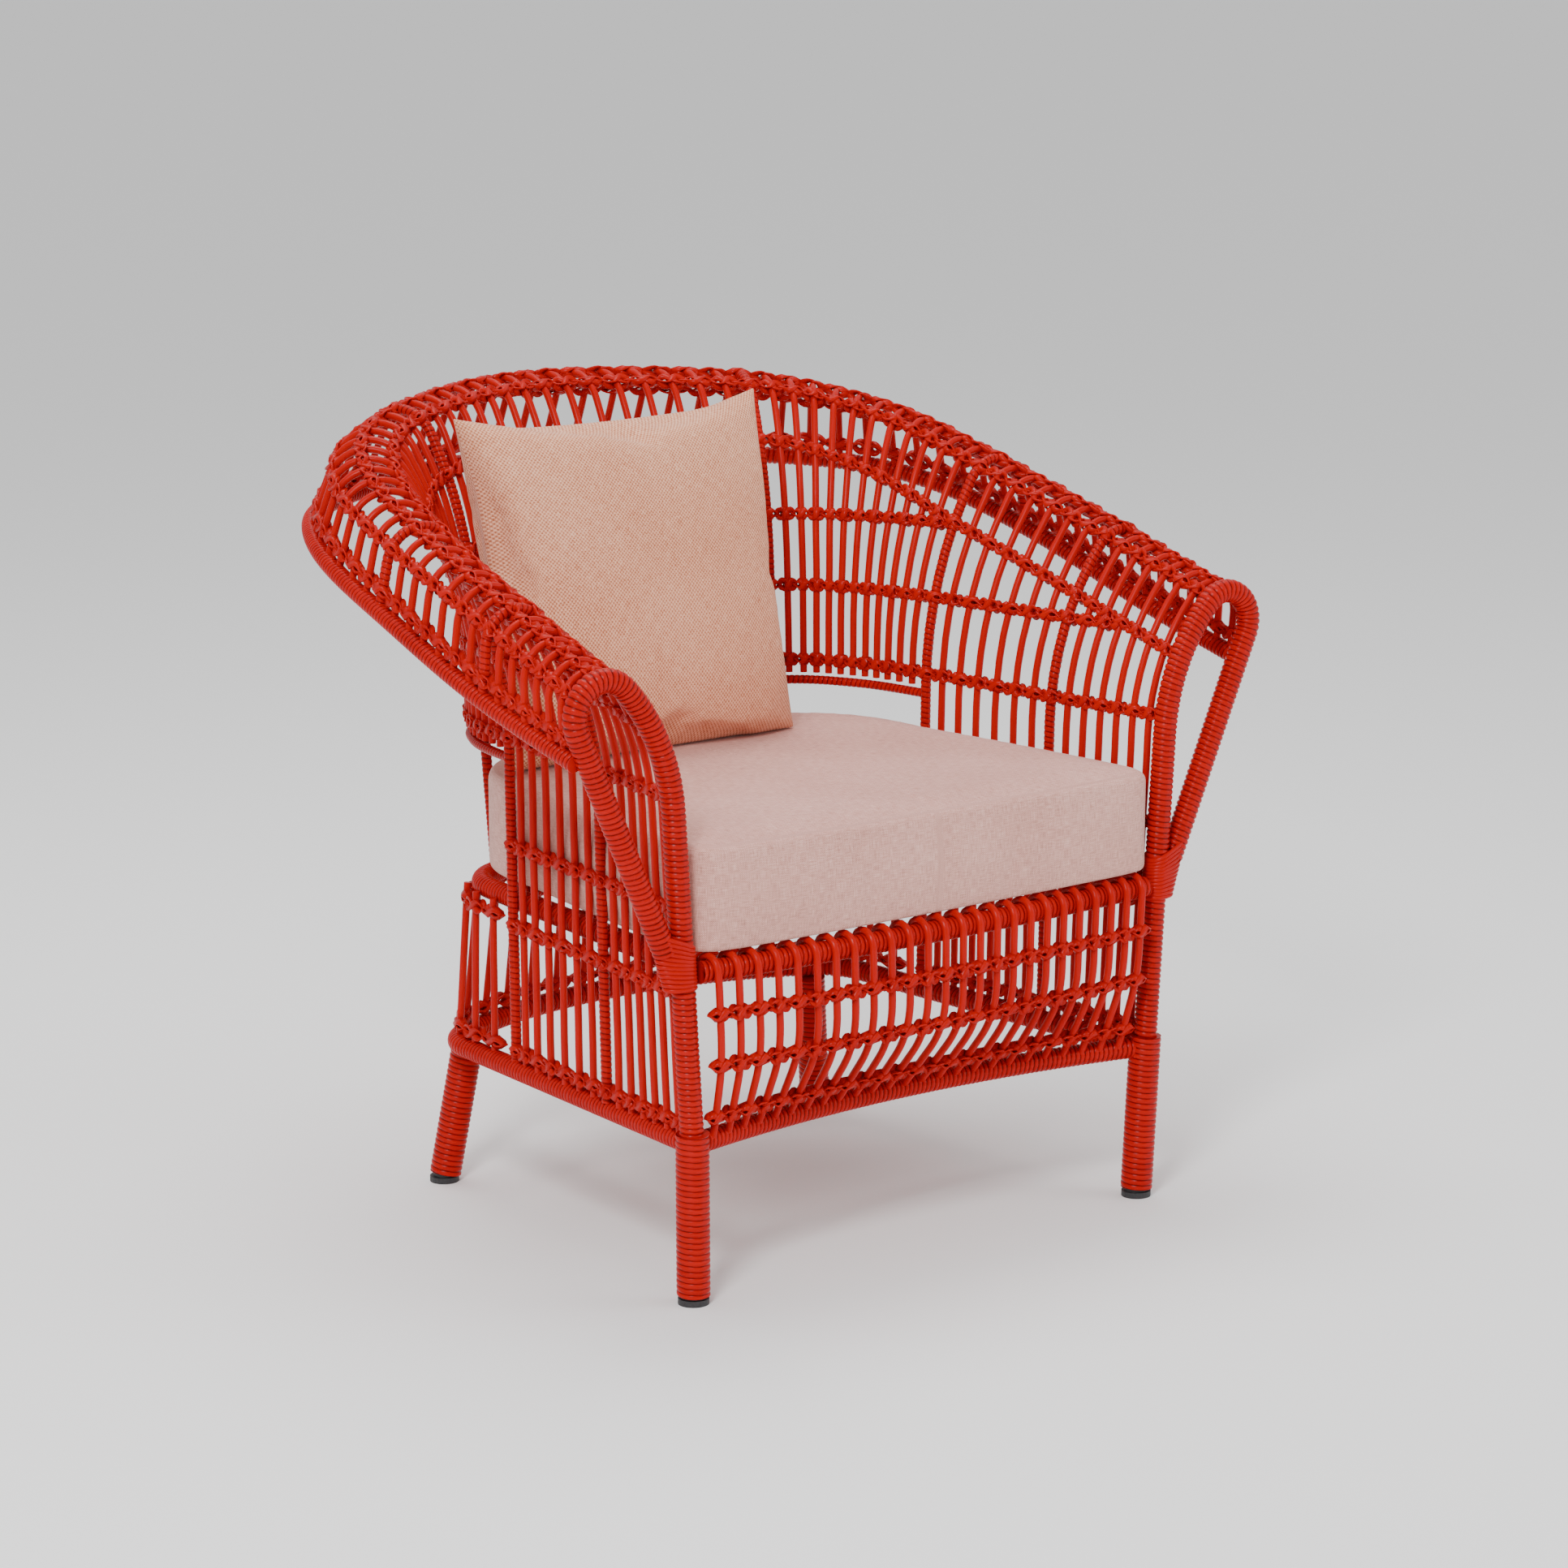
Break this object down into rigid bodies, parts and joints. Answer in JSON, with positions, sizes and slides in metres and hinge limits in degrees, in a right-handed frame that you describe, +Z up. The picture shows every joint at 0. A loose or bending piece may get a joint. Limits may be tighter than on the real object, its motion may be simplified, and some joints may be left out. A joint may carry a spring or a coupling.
{
  "type": "woven lounge armchair",
  "caption": "Low woven armchair with a rolled rim that sweeps round from two looped arm fronts, bound splayed legs, a box seat cushion and a loose back pillow.",
  "frame": {"origin": "floor level, at the middle of the plan outline (bottom centre of the bounding box)", "axes": "+Z up, the chair faces -Y, +X towards its left arm when sitting in it (the right-hand side seen from the front)"},
  "size_m": [0.8686, 0.7904, 0.8069],
  "materials": {
    "tube_metal": "mill finish extruded tube, hidden under the binding",
    "red_binding": "satin flat strip wound round the tube, one scallop a turn",
    "red_cane": "satin round extruded cane with fine streaks along it",
    "red_strip": "satin flat strip laced across the canes",
    "black_plastic": "matt moulded",
    "seat_fabric": "fine flat weave, pale pinkish grey",
    "foam": "open-cell foam",
    "pillow_fabric": "coarse two-tone basket weave, peach",
    "fibre_fill": "loose polyester fibre"
  },
  "bodies": {
    "frame": {"leg_tube_front_left": "tube_metal", "leg_tube_front_right": "tube_metal", "leg_tube_rear_left": "tube_metal", "leg_tube_rear_right": "tube_metal", "leg_binding_front_left": "red_binding", "leg_binding_front_right": "red_binding", "leg_binding_rear_left": "red_binding", "leg_binding_rear_right": "red_binding", "foot_glides": "black_plastic", "hoop_tube_left": "tube_metal", "hoop_tube_right": "tube_metal", "hoop_binding_left": "red_binding", "hoop_binding_right": "red_binding", "joint_wrap_left": "red_binding", "joint_wrap_right": "red_binding", "base_rail_back": "red_binding", "base_rail_front": "red_binding", "seat_rail_back": "red_binding", "seat_rail_front": "red_binding", "seat_cross_bars": "red_binding", "rim_rail": "red_binding", "back_lower_rail": "red_binding", "rib_arm_left": "red_binding", "rib_arm_right": "red_binding", "rib_corner_left": "red_binding", "rib_corner_right": "red_binding", "rib_back_left": "red_binding", "rib_back_right": "red_binding", "canes_arm_left": "red_cane", "canes_arm_right": "red_cane", "canes_back_left": "red_cane", "canes_back_right": "red_cane", "canes_back_middle": "red_cane", "canes_front_apron": "red_cane", "canes_rear_apron": "red_cane", "band_ridge": "red_strip", "band_crest": "red_strip", "band_roll_outer": "red_strip", "band_rim": "red_strip", "band_under_ridge": "red_strip", "band_back_upper": "red_strip", "band_back_middle": "red_strip", "band_belt": "red_strip", "bands_side_upper": "red_strip", "bands_side_seat": "red_strip", "bands_side_foot": "red_strip", "band_front_upper": "red_strip", "band_front_middle": "red_strip", "band_front_lower": "red_strip", "band_rear_upper": "red_strip", "band_rear_lower": "red_strip"},
    "seat_cushion": {"seat_cushion_cover": "seat_fabric", "seat_cushion_foam": "foam"},
    "back_pillow": {"back_pillow_cover": "pillow_fabric", "back_pillow_fill": "fibre_fill"}
  },
  "joints": [
    {"name": "seat_cushion_lift", "type": "slide", "parent": "frame", "child": "seat_cushion", "axis": [0, 0, 1], "range_m": [0, 0.25]},
    {"name": "back_pillow_lift", "type": "slide", "parent": "seat_cushion", "child": "back_pillow", "axis": [0, 0, 1], "range_m": [0, 0.25]}
  ]
}
